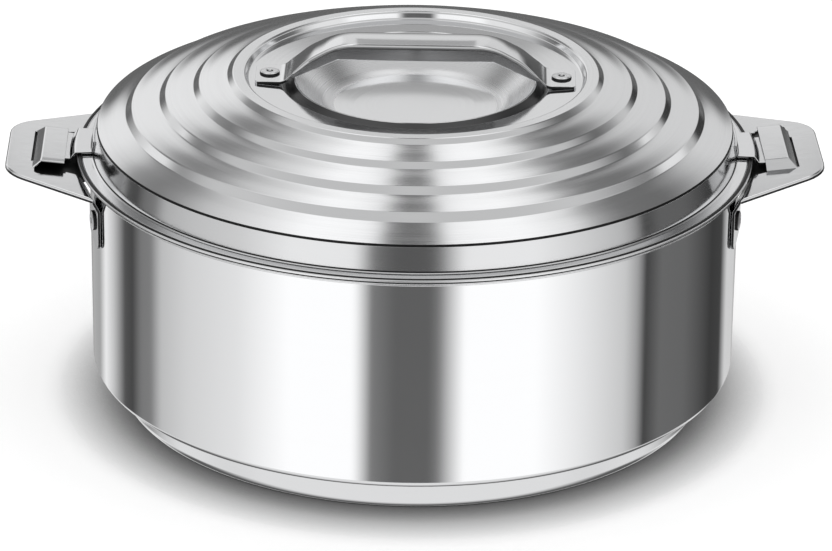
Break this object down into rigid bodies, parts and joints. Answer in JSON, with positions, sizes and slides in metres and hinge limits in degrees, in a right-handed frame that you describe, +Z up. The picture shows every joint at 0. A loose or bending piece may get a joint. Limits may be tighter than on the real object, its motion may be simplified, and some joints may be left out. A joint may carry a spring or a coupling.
{
  "type": "insulated casserole",
  "caption": "Round double-walled serving casserole with a stepped insulated lid, a strap handle over a finger well, and side handles with pockets that lock the turned lid.",
  "frame": {"origin": "centre of the foot ring, in the plane that stands on the table", "axes": "+Z up along the axis of the pot, +X from the left side handle to the right one, +Y away from the viewer of the picture"},
  "size_m": [0.317, 0.263, 0.1453],
  "materials": {
    "polished_steel": "polished",
    "satin_steel": "satin",
    "foam": "matte",
    "silicone": "satin",
    "plug_plastic": "satin"
  },
  "bodies": {
    "pot": {"outer_body": "polished_steel", "inner_bowl": "polished_steel", "body_foam": "foam", "foam_plug": "plug_plastic", "base_cover": "polished_steel", "right_handle": "polished_steel", "left_handle": "polished_steel", "right_handle_rivets": "polished_steel", "left_handle_rivets": "polished_steel", "right_handle_washers": "polished_steel", "left_handle_washers": "polished_steel"},
    "seal": {"seal_ring": "silicone"},
    "lid": {"lid_outer": "satin_steel", "lid_inner": "polished_steel", "lid_foam": "foam", "right_lug": "polished_steel", "left_lug": "polished_steel", "lid_handle": "polished_steel", "lid_handle_rivets": "polished_steel", "lid_handle_washers": "polished_steel"}
  },
  "joints": [
    {"name": "lid_lift", "type": "slide", "parent": "pot", "child": "seal", "axis": [0, 0, 1], "range_m": [0, 0.15]},
    {"name": "lid_turn", "type": "hinge", "parent": "seal", "child": "lid", "pos_m": [0, 0, 0.0996], "axis": [0, 0, 1], "range_deg": [0, 20]}
  ]
}
